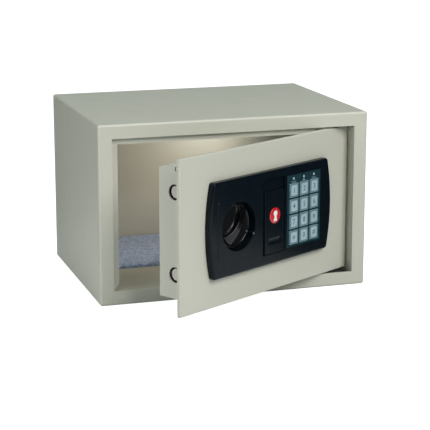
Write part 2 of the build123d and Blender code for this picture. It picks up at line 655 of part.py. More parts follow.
def led_places():
    return [(KEYPAD_X + column * KEY_PITCH_X, LED_Z) for column in (-1, 0, 1)]


def make_keypad_bezel():
    """Dark field with a window for each key and each lamp."""
    bezel = rounded_block(FIELD_X0, FIELD_X1, FIELD_FACE, FIELD_BACK, FIELD_Z0, FIELD_Z1, 1.5)
    for _, x, z in key_places():
        half_width = KEY_WIDTH / 2 + KEY_CLEARANCE
        half_height = KEY_HEIGHT / 2 + KEY_CLEARANCE
        bezel -= block(x - half_width, x + half_width, FIELD_FACE, FIELD_BACK,
                       z - half_height, z + half_height)
    for x, z in led_places():
        bezel -= rod_y(x, z, LED_RADIUS, FIELD_FACE, FIELD_BACK)
    return bezel


def make_key(x, z):
    front = PANEL_FACE - 0.6
    rear = BOARD_FRONT - 2.0
    cap = rounded_block(x - KEY_WIDTH / 2, x + KEY_WIDTH / 2, front, rear,
                        z - KEY_HEIGHT / 2, z + KEY_HEIGHT / 2, 1.0)
    return fillet(cap.edges().group_by(Axis.Y)[0], 0.35)


def make_keypad_board():
    rear = BOARD_FRONT + BOARD_THICKNESS
    board = block(FIELD_X0 + 1.7, FIELD_X1 - 1.7, BOARD_FRONT, rear, FIELD_Z0 + 1.7, FIELD_Z1 - 1.7)
    return board


def make_dome_switches():
    """One snap dome under each key."""
    return [rod_y(x, z, 4, BOARD_FRONT - 1.0, BOARD_FRONT) for _, x, z in key_places()]


def make_status_leds():
    return [rod_y(x, z, LED_RADIUS, FIELD_FACE - 0.25, BOARD_FRONT) for x, z in led_places()]


def make_override_cover():
    """Lid over the emergency lock, with a curved thumb notch near its foot."""
    lid = rounded_block(COVER_X0, COVER_X1, COVER_FACE, COVER_BACK, STRIP_Z0 + 0.4, COVER_TOP, 1.2)
    lid = chamfer(lid.edges().group_by(Axis.Y)[0], 0.3)
    notch = Pos(OVERRIDE_X, COVER_FACE - 8.6, STRIP_Z0 + 14) * Rot(0, 90, 0) * Cylinder(9.4, 20)
    return lid - notch


BADGE_RADIUS = 8.6
BADGE_Z = LOCK_Z + 1.6


def make_badge():
    badge = rod_y(OVERRIDE_X, BADGE_Z, BADGE_RADIUS, COVER_FACE - 1.0, COVER_FACE)
    return fillet(badge.edges().group_by(Axis.Y)[0], 0.5)


# ---------------------------------------------------------------- electronics behind the door
CONTROL_FRONT = -105.5


def make_control_board():
    """Main board on four posts, with a terminal block and a buzzer."""
    rear = CONTROL_FRONT + 1.6
    board = block(24, 80, CONTROL_FRONT, rear, 60, 132)
    for x, z in grid((28, 76), (64, 128)):
        board += rod_y(x, z, 2.5, DOOR_BACK, CONTROL_FRONT)
    board += block(30, 46, rear, rear + 4, 121, 129)
    return board + rod_y(66, 122, 4.5, rear, rear + 4)


BATTERY_RADIUS = 7.1
BATTERY_LENGTH = 50.5
BATTERY_Y = -83.5


def battery_columns():
    middle = (BATTERY_X0 + BATTERY_X1) / 2
    return [middle + (n - 1.5) * 15.0 for n in range(4)]


def make_battery_holder():
    """Tray open to the rear for four AA cells."""
    front = BATTERY_Y - BATTERY_RADIUS - 1.6
    rear = CASE_REAR - CASE_WALL - 0.3
    z0 = LOCK_Z - 2.8 - 28.2
    z1 = LOCK_Z - 2.8 + 28.2
    tray = block(BATTERY_X0, BATTERY_X1, front, rear, z0, z1)
    return tray - block(BATTERY_X0 + 1.5, BATTERY_X1 - 1.5, front + 1.4, rear, z0 + 1.5, z1 - 1.5)


def make_batteries():
    z0 = LOCK_Z - 2.8 - BATTERY_LENGTH / 2
    return [rod_z(x, BATTERY_Y, BATTERY_RADIUS, z0, z0 + BATTERY_LENGTH) for x in battery_columns()]


def make_battery_cover():
    """Lift-off lid over the battery hatch."""
    lid = rounded_block(BATTERY_X0, BATTERY_X1, CASE_REAR + 0.1, CASE_REAR + 2.3, BATTERY_Z0, BATTERY_Z1, 2)
    lid = fillet(lid.edges().group_by(Axis.Y)[-1], 0.8)
    outer, inner = (
        block(BATTERY_X0 + inset, BATTERY_X1 - inset, CASE_REAR - 1.4, CASE_REAR + 0.1,
              BATTERY_Z0 + inset, BATTERY_Z1 - inset)
        for inset in (2.3, 3.5)
    )
    return lid + (outer - inner)


def make_reset_button():
    """Code-setting button in the back of the lock cover."""
    button = rod_y(RESET_X, RESET_Z, 3.0, CASE_REAR - 3, CASE_REAR + 1.6)
    button = fillet(button.edges().group_by(Axis.Y)[-1], 0.6)
    return button + rod_y(RESET_X, RESET_Z, 4.4, CASE_REAR - 4, CASE_REAR - 3)


def make_reset_switch():
    """Switch block under the code-setting button."""
    return block(RESET_X - 6, RESET_X + 6, DOOR_BACK, CASE_REAR - 6, RESET_Z - 6, RESET_Z + 6)


def make_keypad_cable():
    """Keypad lead through the door, straight from board to board."""
    return rod_y(CABLE_X, LOCK_Z, CABLE_RADIUS, BOARD_FRONT + BOARD_THICKNESS, CONTROL_FRONT)


# ---------------------------------------------------------------- assembly
BODY_PIECES = {
    "body_shell": make_body_shell(),
    "back_panel": make_back_panel(),
    "stop_frame": make_stop_frame(),
    "hinge_jamb": make_hinge_jamb(),
    "inner_floor": make_inner_floor(),
    "floor_mat": make_floor_mat(),
    "hinge_brackets": [make_hinge_bracket(), mirrored_in_height(make_hinge_bracket())],
    "hinge_bushes": [make_hinge_bush(), mirrored_in_height(make_hinge_bush())],
}

DOOR_PIECES = {
    "door_plate": make_door_plate(),
    "hinge_lugs": [make_hinge_lug(), mirrored_in_height(make_hinge_lug())],
    "hinge_pins": [make_hinge_pin(), mirrored_in_height(make_hinge_pin())],
    "hinge_spacer": make_hinge_spacer(),
    "lock_cover": make_lock_cover(),
    "cover_mounts": make_cover_posts() + [make_side_tab()],
    "cover_screws": make_cover_screws(),
    "knob": make_knob(),
    "knob_mark": make_knob_mark(),
    "spindle": make_spindle(),
    "spindle_bush": make_spindle_bush(),
    "crank": make_crank(),
    "crank_clip": make_crank_clip(),
    "bolt_carriage": make_bolt_carriage(),
    "bolt_lower": make_bolt(LOCK_Z - BOLT_OFFSET),
    "bolt_upper": make_bolt(LOCK_Z + BOLT_OFFSET),
    "bolt_guide": make_bolt_guide(),
    "carriage_guides": make_carriage_guides(),
    "solenoid": make_solenoid(),
    "solenoid_plunger": make_solenoid_plunger(),
    "plunger_spring": make_plunger_spring(),
    "override_barrel": make_override_barrel(),
    "override_plug": make_override_plug(),
    "override_cam": make_override_cam(),
    "panel_housing": make_panel_housing(),
    "panel_screws": make_panel_screws(),
    "index_mark": make_index_mark(),
    "keypad_bezel": make_keypad_bezel(),
    "keypad_board": make_keypad_board(),
    "dome_switches": make_dome_switches(),
    "status_leds": make_status_leds(),
    "override_cover": make_override_cover(),
    "badge": make_badge(),
    "control_board": make_control_board(),
    "keypad_cable": make_keypad_cable(),
    "battery_holder": make_battery_holder(),
    "batteries": make_batteries(),
    "battery_cover": make_battery_cover(),
    "reset_button": make_reset_button(),
    "reset_switch": make_reset_switch(),
}
for key_name, key_x, key_z in key_places():
    DOOR_PIECES[key_name] = make_key(key_x, key_z)


def write_piece(name, piece, angle):
    """Write one node, turned about the hinge; a list of solids becomes one group."""
    pieces = piece if isinstance(piece, list) else [piece]
    turned = [one.rotate(HINGE_AXIS, angle) for one in pieces]
    whole = Compound(turned) if len(turned) > 1 else turned[0]
    export_step(whole, f"parts/{name}.step")


os.makedirs("parts", exist_ok=True)
for piece_name, body_piece in BODY_PIECES.items():
    write_piece(piece_name, body_piece, 0)
for piece_name, door_piece in DOOR_PIECES.items():
    write_piece(piece_name, door_piece, DOOR_REST_ANGLE)
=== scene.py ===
import json
import math

import bmesh
import bpy
from mathutils import Matrix, Vector, noise


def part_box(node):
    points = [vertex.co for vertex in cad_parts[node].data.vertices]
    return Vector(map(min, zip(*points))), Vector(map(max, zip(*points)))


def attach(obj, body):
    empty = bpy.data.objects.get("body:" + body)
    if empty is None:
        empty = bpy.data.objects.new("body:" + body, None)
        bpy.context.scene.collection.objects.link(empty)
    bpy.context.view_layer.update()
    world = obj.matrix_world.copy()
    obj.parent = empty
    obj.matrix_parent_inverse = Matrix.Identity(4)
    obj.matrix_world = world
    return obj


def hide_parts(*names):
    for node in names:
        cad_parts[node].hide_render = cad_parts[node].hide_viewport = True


# Looks of the in-room safe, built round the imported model. The model's own frame, in metres:
# X to the right seen from the front, Y into the safe, Z up, origin under the middle of the body.
# Shapes are drawn in millimetres in a local frame and then placed, so MM turns them to metres.

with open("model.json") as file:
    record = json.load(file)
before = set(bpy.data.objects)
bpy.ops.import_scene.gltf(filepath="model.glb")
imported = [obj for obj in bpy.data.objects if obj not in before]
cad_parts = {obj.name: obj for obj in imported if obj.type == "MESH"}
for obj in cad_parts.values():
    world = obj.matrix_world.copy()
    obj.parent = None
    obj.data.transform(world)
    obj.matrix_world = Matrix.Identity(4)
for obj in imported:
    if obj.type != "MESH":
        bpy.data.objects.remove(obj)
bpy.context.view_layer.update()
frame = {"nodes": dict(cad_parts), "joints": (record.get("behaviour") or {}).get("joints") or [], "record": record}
nodes = frame["nodes"]
joints = {joint["name"]: joint for joint in frame["joints"]}
slots = {part["node"]: part["material_slot"] for part in frame["record"]["subparts"]}

MM = 0.001
WHITE = (1, 1, 1)
UP = Vector((0, 0, 1))
OUTWARD = Vector(joints["knob_turn"]["axis"]).normalized()    # out of the door's front
ACROSS = UP.cross(OUTWARD)                                     # to the right along the door
DOOR_ANGLE = math.atan2(ACROSS.y, ACROSS.x)


def middle(node):
    """Middle of a node's box."""
    low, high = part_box(node)
    return (low + high) / 2


# ---------------------------------------------------------------- camera, stage and light
CAMERA_PLACE = (-0.5148, -1.6554, 0.4745)
CAMERA_AZIMUTH = 17.66     # degrees to the left of the safe's front
CAMERA_ELEVATION = 13.26   # degrees above the level
CAMERA_LENS = 126.36


def make_camera():
    """A long lens, a little above the safe and to its left."""
    camera = bpy.data.objects.new("camera", bpy.data.cameras.new("camera"))
    bpy.context.scene.collection.objects.link(camera)
    camera.location = CAMERA_PLACE
    azimuth = math.radians(CAMERA_AZIMUTH)
    elevation = math.radians(CAMERA_ELEVATION)
    ahead = Vector((
        math.sin(azimuth) * math.cos(elevation),
        math.cos(azimuth) * math.cos(elevation),
        -math.sin(elevation),
    ))
    camera.rotation_euler = ahead.to_track_quat("-Z", "Y").to_euler()
    camera.data.sensor_width = 36
    camera.data.lens = CAMERA_LENS
    camera.data.clip_end = 50
    bpy.context.scene.camera = camera


def make_area_light(name, place, target, size, power, colour):
    """A soft rectangular light at place, facing target, that the camera doesn't see."""
    light = bpy.data.lights.new(name, "AREA")
    light.shape = "RECTANGLE"
    light.size, light.size_y = size
    light.energy = power
    light.color = colour
    holder = bpy.data.objects.new(name, light)
    bpy.context.scene.collection.objects.link(holder)
    holder.location = place
    holder.rotation_euler = (Vector(target) - Vector(place)).to_track_quat("-Z", "Y").to_euler()
    holder.visible_camera = False


def choose_by_ray(tree, kind, other, chosen):
    """The chosen shader for one kind of ray, such as the camera's, and the other for the rest."""
    ray = tree.nodes.new("ShaderNodeLightPath")
    mix = tree.nodes.new("ShaderNodeMixShader")
    tree.links.new(ray.outputs[kind], mix.inputs["Fac"])
    tree.links.new(other, mix.inputs[1])
    tree.links.new(chosen, mix.inputs[2])
    return mix.outputs["Shader"]


def make_world(colour, strength, mirrored):
    """A white room to look at that lights the safe only a little and mirrors in it even less."""
    world = bpy.data.worlds.new("studio")
    world.use_nodes = True
    tree = world.node_tree

    def background(tint, level):
        node = tree.nodes.new("ShaderNodeBackground")
        node.inputs["Color"].default_value = (*tint, 1)
        node.inputs["Strength"].default_value = level
        return node.outputs["Background"]

    even = background(colour, strength)
    lit = choose_by_ray(tree, "Is Glossy Ray", even, background(colour, mirrored))
    seen = choose_by_ray(tree, "Is Camera Ray", lit, background(WHITE, 1))
    tree.links.new(seen, tree.nodes["World Output"].inputs["Surface"])
    bpy.context.scene.world = world


FLOOR_REACH = 8.0
FLOOR_DROP = 0.0002        # keeps the floor clear of the safe's underside
FLOOR_SHADE = 0.55         # the camera sees this shade under a glow, which makes it nearly white
FLOOR_GLOW = 0.92
LIT_CENTRE = (-0.3, -0.6, 0)    # the floor throws light back round here
LIT_REACH = 1.3
LIT_STOPS = [(0.0, 0.06), (0.8, 0.8)]
MIRRORED_START = (0.127, 0.127, 0)    # what glossy pieces mirror gets paler to the front left
MIRRORED_REACH = 0.3
MIRRORED_TURN = math.radians(225)
MIRRORED_STOPS = [(0.05, 0.01), (0.42, 0.1), (0.53, 0.9), (0.8, 0.95)]


def matt_floor(tree, shade):
    bsdf = tree.nodes.new("ShaderNodeBsdfPrincipled")
    bsdf.inputs["Base Color"].default_value = (shade, shade, shade, 1)
    bsdf.inputs["Roughness"].default_value = 0.9
    return bsdf


def shaded_floor(material, kind, centre, reach, turn, stops):
    """A matt floor whose shade follows a gradient of the given kind; stops are (place, shade)."""
    tree = material.node_tree
    pool = tree.nodes.new("ShaderNodeTexGradient")
    pool.gradient_type = kind
    vector = coordinates(material, (reach, reach, reach), turn, centre)
    tree.links.new(vector, pool.inputs["Vector"])
    bsdf = matt_floor(tree, 0.5)
    greys = [(place, (shade, shade, shade)) for place, shade in stops]
    colour_by(material, pool.outputs["Fac"], greys, bsdf)
    return bsdf.outputs["BSDF"]


def floor_material():
    """Almost white with a faint shadow to look at, but it lights the safe only from close by."""
    material = bpy.data.materials.new("floor")
    material.use_nodes = True
    tree = material.node_tree
    tree.nodes.clear()
    lit = shaded_floor(material, "SPHERICAL", LIT_CENTRE, LIT_REACH, 0, LIT_STOPS)
    mirrored = shaded_floor(
        material, "LINEAR", MIRRORED_START, MIRRORED_REACH, MIRRORED_TURN, MIRRORED_STOPS
    )
    plain = choose_by_ray(tree, "Is Glossy Ray", lit, mirrored)
    glow = tree.nodes.new("ShaderNodeEmission")
    glow.inputs["Strength"].default_value = FLOOR_GLOW
    shown = tree.nodes.new("ShaderNodeAddShader")
    tree.links.new(matt_floor(tree, FLOOR_SHADE).outputs["BSDF"], shown.inputs[0])
    tree.links.new(glow.outputs["Emission"], shown.inputs[1])
    output = tree.nodes.new("ShaderNodeOutputMaterial")
    surface = choose_by_ray(tree, "Is Camera Ray", plain, shown.outputs["Shader"])
    tree.links.new(surface, output.inputs["Surface"])
    return material


def make_floor():
    reach = FLOOR_REACH
    corners = [(-reach, -reach, 0), (reach, -reach, 0), (reach, reach, 0), (-reach, reach, 0)]
    mesh = bpy.data.meshes.new("floor")
    mesh.from_pydata(corners, [], [(0, 1, 2, 3)])
    floor = bpy.data.objects.new("floor", mesh)
    bpy.context.scene.collection.objects.link(floor)
    floor.location.z = -FLOOR_DROP
    mesh.materials.append(floor_material())


# ---------------------------------------------------------------- materials
NOISE_LOW = 0.3            # noise hardly leaves the range between these two
NOISE_HIGH = 0.7


def new_material(name, roughness, metallic=0.0, coat=0.0, gloss=0.5):
    material = bpy.data.materials.new(name)
    material.use_nodes = True
    bsdf = material.node_tree.nodes["Principled BSDF"]
    bsdf.inputs["Roughness"].default_value = roughness
    bsdf.inputs["Metallic"].default_value = metallic
    bsdf.inputs["Coat Weight"].default_value = coat
    bsdf.inputs["Coat Roughness"].default_value = 0.15
    bsdf.inputs["Specular IOR Level"].default_value = gloss
    return material


def shader_of(material):
    return material.node_tree.nodes["Principled BSDF"]


def coordinates(material, stretch=(1, 1, 1), turn=0.0, origin=(0, 0, 0)):
    """The model's own coordinates, about origin, turned about Z and stretched."""
    tree = material.node_tree
    source = tree.nodes.new("ShaderNodeTexCoord")
    mapping = tree.nodes.new("ShaderNodeMapping")
    mapping.vector_type = "TEXTURE"
    mapping.inputs["Location"].default_value = origin
    mapping.inputs["Rotation"].default_value = (0, 0, turn)
    mapping.inputs["Scale"].default_value = stretch
    tree.links.new(source.outputs["Object"], mapping.inputs["Vector"])
    return mapping.outputs["Vector"]


def grain(material, vector, scale, detail):
    node = material.node_tree.nodes.new("ShaderNodeTexNoise")
    node.inputs["Scale"].default_value = scale
    node.inputs["Detail"].default_value = detail
    material.node_tree.links.new(vector, node.inputs["Vector"])
    return node.outputs["Fac"]


def colour_by(material, factor, stops, shader=None):
    """Base colour of the shader from a pattern; stops are (place, colour)."""
    tree = material.node_tree
    ramp = tree.nodes.new("ShaderNodeValToRGB")
    elements = ramp.color_ramp.elements
    while len(elements) < len(stops):
        elements.new(0.5)
    for element, (place, colour) in zip(elements, stops):
        element.position = place
        element.color = (*colour, 1)
    tree.links.new(factor, ramp.inputs["Fac"])
    tree.links.new(ramp.outputs["Color"], (shader or shader_of(material)).inputs["Base Color"])


def roughness_by(material, factor, low, high):
    """Roughness from a noise pattern."""
    tree = material.node_tree
    spread = tree.nodes.new("ShaderNodeMapRange")
    spread.inputs["From Min"].default_value = NOISE_LOW
    spread.inputs["From Max"].default_value = NOISE_HIGH
    spread.inputs["To Min"].default_value = low
    spread.inputs["To Max"].default_value = high
    tree.links.new(factor, spread.inputs["Value"])
    tree.links.new(spread.outputs["Result"], shader_of(material).inputs["Roughness"])


def relief_by(material, height, depth, strength):
    """Bump from a pattern; depth is in metres."""
    tree = material.node_tree
    bump = tree.nodes.new("ShaderNodeBump")
    bump.inputs["Strength"].default_value = strength
    bump.inputs["Distance"].default_value = depth
    tree.links.new(height, bump.inputs["Height"])
    tree.links.new(bump.outputs["Normal"], shader_of(material).inputs["Normal"])


def powder_coat():
    """Pale grey-green powder paint: very slight fine mottling, satin gloss and orange peel."""
    material = new_material("powder_coat", 0.45)
    vector = coordinates(material)
    dark = (0.503, 0.508, 0.434)
    between = (0.515, 0.520, 0.445)
    light = (0.527, 0.532, 0.457)
    mottling = grain(material, vector, scale=900, detail=6)
    colour_by(material, mottling, [(0.25, dark), (0.5, between), (0.75, light)])
    roughness_by(material, grain(material, vector, scale=45, detail=4), 0.42, 0.5)
    peel = grain(material, vector, scale=800, detail=2)
    relief_by(material, peel, depth=0.0002, strength=0.12)
    return material


def moulded(name, dark, light, roughness, scale=1500, depth=0.00006, strength=0.25,
            coat=0.0, gloss=0.5):
    """Moulded plastic, rubber or film with a fine surface grain."""
    material = new_material(name, roughness, coat=coat, gloss=gloss)
    vector = coordinates(material)
    clouds = grain(material, vector, scale=90, detail=5)
    colour_by(material, clouds, [(NOISE_LOW, dark), (NOISE_HIGH, light)])
    handling = grain(material, vector, scale=70, detail=4)
    roughness_by(material, handling, roughness * 0.85, roughness * 1.2)
    relief_by(material, grain(material, vector, scale, detail=2), depth, strength)
    return material


def metal(name, dark, light, roughness, stretch=(1, 1, 1), turn=0.0):
    """Plated or drawn metal; stretch draws the grain out into brushed lines."""
    material = new_material(name, roughness, metallic=1.0)
    lines = grain(material, coordinates(material, stretch, turn), scale=900, detail=3)
    clouds = grain(material, coordinates(material), scale=120, detail=5)
    colour_by(material, clouds, [(NOISE_LOW, dark), (NOISE_HIGH, light)])
    roughness_by(material, lines, roughness * 0.75, roughness * 1.3)
    relief_by(material, lines, depth=0.00005, strength=0.2)
    return material


def turned_steel(name, centre):
    """Steel faced on a lathe: fine rings about the bolt's own axis, which lies across the door."""
    material = new_material(name, 0.28, metallic=1.0)
    tree = material.node_tree
    vector = coordinates(material, turn=DOOR_ANGLE, origin=centre)
    rings = tree.nodes.new("ShaderNodeTexWave")
    rings.wave_type = "RINGS"
    rings.rings_direction = "X"
    rings.inputs["Scale"].default_value = 420
    rings.inputs["Distortion"].default_value = 0.6
    tree.links.new(vector, rings.inputs["Vector"])
    clouds = grain(material, vector, scale=160, detail=4)
    dark = (0.40, 0.37, 0.34)
    light = (0.55, 0.51, 0.47)
    colour_by(material, clouds, [(NOISE_LOW, dark), (NOISE_HIGH, light)])
    roughness_by(material, clouds, 0.22, 0.36)
    relief_by(material, rings.outputs["Fac"], depth=0.00004, strength=0.25)
    return material


def needle_felt():
    """Blue-grey felt with pale flecks and a matted nap."""
    material = new_material("needle_felt", 0.95)
    bsdf = shader_of(material)
    bsdf.inputs["Sheen Weight"].default_value = 0.35
    bsdf.inputs["Sheen Roughness"].default_value = 0.5
    vector = coordinates(material)
    tangle = grain(material, vector, scale=330, detail=12)
    stops = [
        (0.28, (0.155, 0.225, 0.385)),
        (0.45, (0.25, 0.34, 0.55)),
        (0.58, (0.355, 0.47, 0.715)),
        (0.7, (0.58, 0.70, 0.90)),
    ]
    colour_by(material, tangle, stops)
    nap = grain(material, vector, scale=900, detail=6)
    relief_by(material, nap, depth=0.0009, strength=0.7)
    return material


def circuit_board():
    """Green solder mask with a faint pattern of copper cells underneath."""
    material = new_material("circuit_board", 0.35, coat=0.3)
    tree = material.node_tree
    cells = tree.nodes.new("ShaderNodeTexVoronoi")
    cells.feature = "DISTANCE_TO_EDGE"
    cells.inputs["Scale"].default_value = 260
    tree.links.new(coordinates(material, turn=DOOR_ANGLE), cells.inputs["Vector"])
    edge = cells.outputs["Distance"]
    copper_under_mask = (0.02, 0.13, 0.055)
    mask = (0.008, 0.06, 0.03)
    colour_by(material, edge, [(0.03, copper_under_mask), (0.12, mask)])
    relief_by(material, edge, depth=0.0001, strength=0.3)
    return material


ACROSS_DOOR = {"stretch": (24, 1, 1), "turn": DOOR_ANGLE}    # brushed along the door

# Dark colour, light colour, roughness, and what differs from the usual recipe.
MOULDED = {
    "black_steel": ((0.012, 0.012, 0.013), (0.022, 0.022, 0.024), 0.42, {"scale": 700}),
    "black_nylon": ((0.012, 0.012, 0.014), (0.022, 0.022, 0.024), 0.5, {}),
    "knob_black": ((0.0015, 0.0015, 0.002), (0.0025, 0.003, 0.004), 0.17,
                   {"scale": 1900, "depth": 0.00003, "strength": 0.05, "gloss": 0.35}),
    "knob_hollow": ((0.0015, 0.002, 0.003), (0.003, 0.004, 0.005), 0.5,
                    {"scale": 900, "depth": 0.00004, "strength": 0.2, "gloss": 0.1}),
    "panel_black": ((0.0022, 0.0052, 0.0078), (0.003, 0.0068, 0.0102), 0.22,
                    {"depth": 0.00003, "strength": 0.06, "gloss": 0.16}),
    "keypad_field": ((0.009, 0.030, 0.040), (0.013, 0.040, 0.052), 0.25, {"gloss": 0.2}),
    "key_grey": ((0.14, 0.23, 0.265), (0.17, 0.275, 0.315), 0.42, {"gloss": 0.3}),
    "key_light": ((0.29, 0.41, 0.46), (0.36, 0.48, 0.53), 0.42, {"gloss": 0.3}),
    "lamp_print": ((0.13, 0.21, 0.24), (0.17, 0.27, 0.30), 0.4, {"gloss": 0.3}),
    "mark_white": ((0.72, 0.75, 0.76), (0.84, 0.86, 0.87), 0.4, {}),
    "lamp_lens": ((0.38, 0.45, 0.48), (0.46, 0.53, 0.56), 0.3, {}),
    "badge_red": ((0.50, 0.008, 0.016), (0.60, 0.014, 0.025), 0.25, {"coat": 0.7}),
    "solenoid_case": ((0.04, 0.085, 0.19), (0.06, 0.115, 0.25), 0.35, {"coat": 0.3}),
    "cable_grey": ((0.16, 0.16, 0.17), (0.22, 0.22, 0.23), 0.5, {}),
    "black_plastic": ((0.01, 0.01, 0.011), (0.018, 0.018, 0.019), 0.45, {}),
    "battery_jacket": ((0.05, 0.055, 0.06), (0.075, 0.08, 0.09), 0.3, {"coat": 0.4}),
    # The knob's white index dots are given a dim grey: painted shade, for the recesses they sit in.
    "mark_in_painted_shade": ((0.07, 0.075, 0.08), (0.11, 0.115, 0.12), 0.4, {}),
    "legend": ((0.02, 0.06, 0.075), (0.035, 0.09, 0.105), 0.45, {}),
}
METALS = {
    "bright_steel": ((0.5, 0.5, 0.49), (0.64, 0.63, 0.62), 0.25, {}),
    "zinc_steel": ((0.5, 0.5, 0.46), (0.7, 0.69, 0.62), 0.35, ACROSS_DOOR),
    "brass": ((0.62, 0.42, 0.16), (0.78, 0.56, 0.25), 0.25, ACROSS_DOOR),
    "chrome": ((0.62, 0.62, 0.63), (0.72, 0.72, 0.73), 0.12, {}),
}


def make_materials():
    """One material for each of the record's slots, and a few for marks, by name."""
    made = {
        "safe_paint": powder_coat(),
        "mat_felt": needle_felt(),
        "board_green": circuit_board(),
        "bolt_steel": turned_steel("bolt_steel", middle("bolt_upper")),
    }
    for recipe, table in ((moulded, MOULDED), (metal, METALS)):
        for name, (dark, light, roughness, unusual) in table.items():
            made[name] = recipe(name, dark, light, roughness, **unusual)
    return made


# Name, place, target, size, watts and colour of each light. The last two stand inside the cavity.
LIGHTS = [
    ("key", (0.57, -1.6, 1.35), (0, -0.1, 0.1), (1.3, 1.0), 33.5, (1.0, 0.97, 0.94)),
    ("above", (0, -0.1, 2.0), (0, -0.1, 0.1), (1.4, 1.4), 10.5, (0.95, 0.99, 1.0)),
    ("back", (2.0, 1.2, 0.35), (0, 0.1, 0.1), (0.8, 0.5), 6, WHITE),
    ("left", (-2.0, -0.6, 0.75), (0, -0.1, 0.1), (0.9, 0.9), 15.5, (1.0, 0.98, 0.94)),
    ("inside", (0.03, 0.0, 0.12), (-0.08, 0.115, 0.07), (0.16, 0.05), 0.105, (1.0, 0.84, 0.70)),
    ("patch", (0.03, 0.07, 0.175), (0.035, 0.115, 0.174), (0.05, 0.01), 0.035, (0.85, 0.98, 1.0)),
]

bpy.context.scene.view_settings.view_transform = "Standard"
make_camera()
make_world(colour=(0.68, 0.90, 1.0), strength=0.22, mirrored=0.02)
make_floor()
for light in LIGHTS:
    make_area_light(*light)
materials = make_materials()


def finish_cad_nodes():
    """Every CAD node takes its slot's material; dots, lamps and the lower bolt have their own, the two index dots
    a dim grey of painted shade.
    """
    for node, slot in slots.items():
        mesh = nodes[node].data
        mesh.materials.clear()
        mesh.materials.append(materials[slot])
    # The two white index dots take a dim grey, painted shade for the recesses they sit in.
    for mark in ("knob_mark", "index_mark"):
        nodes[mark].data.materials[0] = materials["mark_in_painted_shade"]
    nodes["status_leds"].data.materials[0] = materials["lamp_lens"]
    lower = nodes["bolt_lower"].data
    lower.materials[0] = turned_steel("bolt_steel_lower", middle("bolt_lower"))


finish_cad_nodes()


# ---------------------------------------------------------------- mesh helpers
def door_place(origin):
    """Local frame on the door: X across, Y into the door, Z up, millimetres."""
    place = Matrix.Identity(4)
    for column, direction in enumerate((ACROSS, -OUTWARD, UP)):
        for row in range(3):
            place[row][column] = direction[row] * MM
    place.translation = origin
    return place


def body_place(origin):
    """The same for a piece of the body, along the model's own axes."""
    return Matrix.Translation(origin) @ Matrix.Diagonal((MM, MM, MM, 1))


def on_front(node, point):
    """The point moved along the door's outward direction to the node's front face."""
    front = max(vertex.co.dot(OUTWARD) for vertex in nodes[node].data.vertices)
    return point + OUTWARD * (front - point.dot(OUTWARD))


def sheets_to_mesh(sheets):
    """Vertices and quads of several grids, each a list of rows of points."""
    vertices = []
    faces = []
    for rows in sheets:
        base = len(vertices)
        width = len(rows[0])
        for row in rows:
            vertices.extend(row)
        for i in range(len(rows) - 1):
            for j in range(width - 1):
                a = base + i * width + j
                faces.append((a, a + 1, a + width + 1, a + width))
    return vertices, faces


def make_piece(name, vertices, faces, place, weld=0.002, sharp=40):
    """A welded, consistently facing mesh object from points in millimetres; sharp is in degrees."""
    mesh = bpy.data.meshes.new(name)
    mesh.from_pydata(vertices, [], faces)
    work = bmesh.new()
    work.from_mesh(mesh)
    bmesh.ops.remove_doubles(work, verts=work.verts, dist=weld)
    bmesh.ops.dissolve_degenerate(work, edges=work.edges, dist=weld / 2)
    bmesh.ops.recalc_face_normals(work, faces=work.faces)
    for face in work.faces:
        face.smooth = True
    work.to_mesh(mesh)
    work.free()
    mesh.transform(place)
    mesh.set_sharp_from_angle(angle=math.radians(sharp))
    piece = bpy.data.objects.new(name, mesh)
    bpy.context.scene.collection.objects.link(piece)
    return piece


def dress(piece, slot, body, replaced=(), material=None):
    """Material (the slot's own if not given), slot, body and the CAD nodes it stands for."""
    piece.data.materials.append(materials[material or slot])
    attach(piece, body)
    if replaced:
        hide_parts(*replaced)


ROUND_STEPS = 96


def turned(profile):
    """Rows of a surface of revolution about the local Y axis; profile is (radius, depth) points."""
    rows = []
    for step in range(ROUND_STEPS + 1):
        angle = 2 * math.pi * step / ROUND_STEPS
        rows.append([(r * math.cos(angle), y, r * math.sin(angle)) for r, y in profile])
    return rows


def plate(outline, front, back):
    """Closed flat plate between two depths; outline is (x, z) points."""
    count = len(outline)
    vertices = [(x, front, z) for x, z in outline] + [(x, back, z) for x, z in outline]
    faces = [tuple(range(count)), tuple(range(2 * count - 1, count - 1, -1))]
    for i in range(count):
        j = (i + 1) % count
        faces.append((i, j, count + j, count + i))
    return vertices, faces


def joined(parts):
    """One vertex and face list from several."""
    vertices = []
    faces = []
    for more_vertices, more_faces in parts:
        base = len(vertices)
        vertices.extend(more_vertices)
        faces.extend(tuple(base + index for index in face) for face in more_faces)
    return vertices, faces


# ---------------------------------------------------------------- knob
# Depths run into the door from the face of the grip, the bar across the knob.
RIM_DROP = 5.0
SCOOP_DROP = 6.6           # floor of the two scoops beside the grip
HOLLOW_DROP = 5.6          # the scoops are matt from here down
BACK_DROP = 7.4
BACK_CLEAR = 0.1           # keeps the knob's back out of the matt faces
RIM_INSIDE = 21.8
RIM_PROFILE = [            # radius and depth, from the rim's inner edge round to the back
    (22.0, 4.88),
    (22.9, 4.86),
    (23.35, 5.02),
    (23.62, 5.35),
    (23.7, 5.8),
    (23.7, BACK_DROP),
]
FOOT_FILLET = 4.2          # width of the hollow at the foot of the grip's walls
KERB_FILLET = 6.0          # width of the hollow inside the rim
GRIP_EDGE = 1.3            # rounding of the grip's edges
GRIP_CROWN = 2.6           # how much the grip's face falls away towards its ends
TOP_LEFT = 81.3            # where the grip's sides meet the rim, in degrees anticlockwise
BOTTOM_LEFT = 202.7
BOTTOM_RIGHT = 244.7
TOP_RIGHT = 403.5          # 43.5 and a full turn, so that the four angles rise
LEFT_SAG = 9.0             # how far each side of the grip bows, from its chord
RIGHT_SAG = 2.0
KNOB_WELD = 0.01           # closes the seams round the grip, where its rounding is steep


def on_circle(radius, degrees):
    angle = math.radians(degrees)
    return Vector((radius * math.cos(angle), radius * math.sin(angle)))


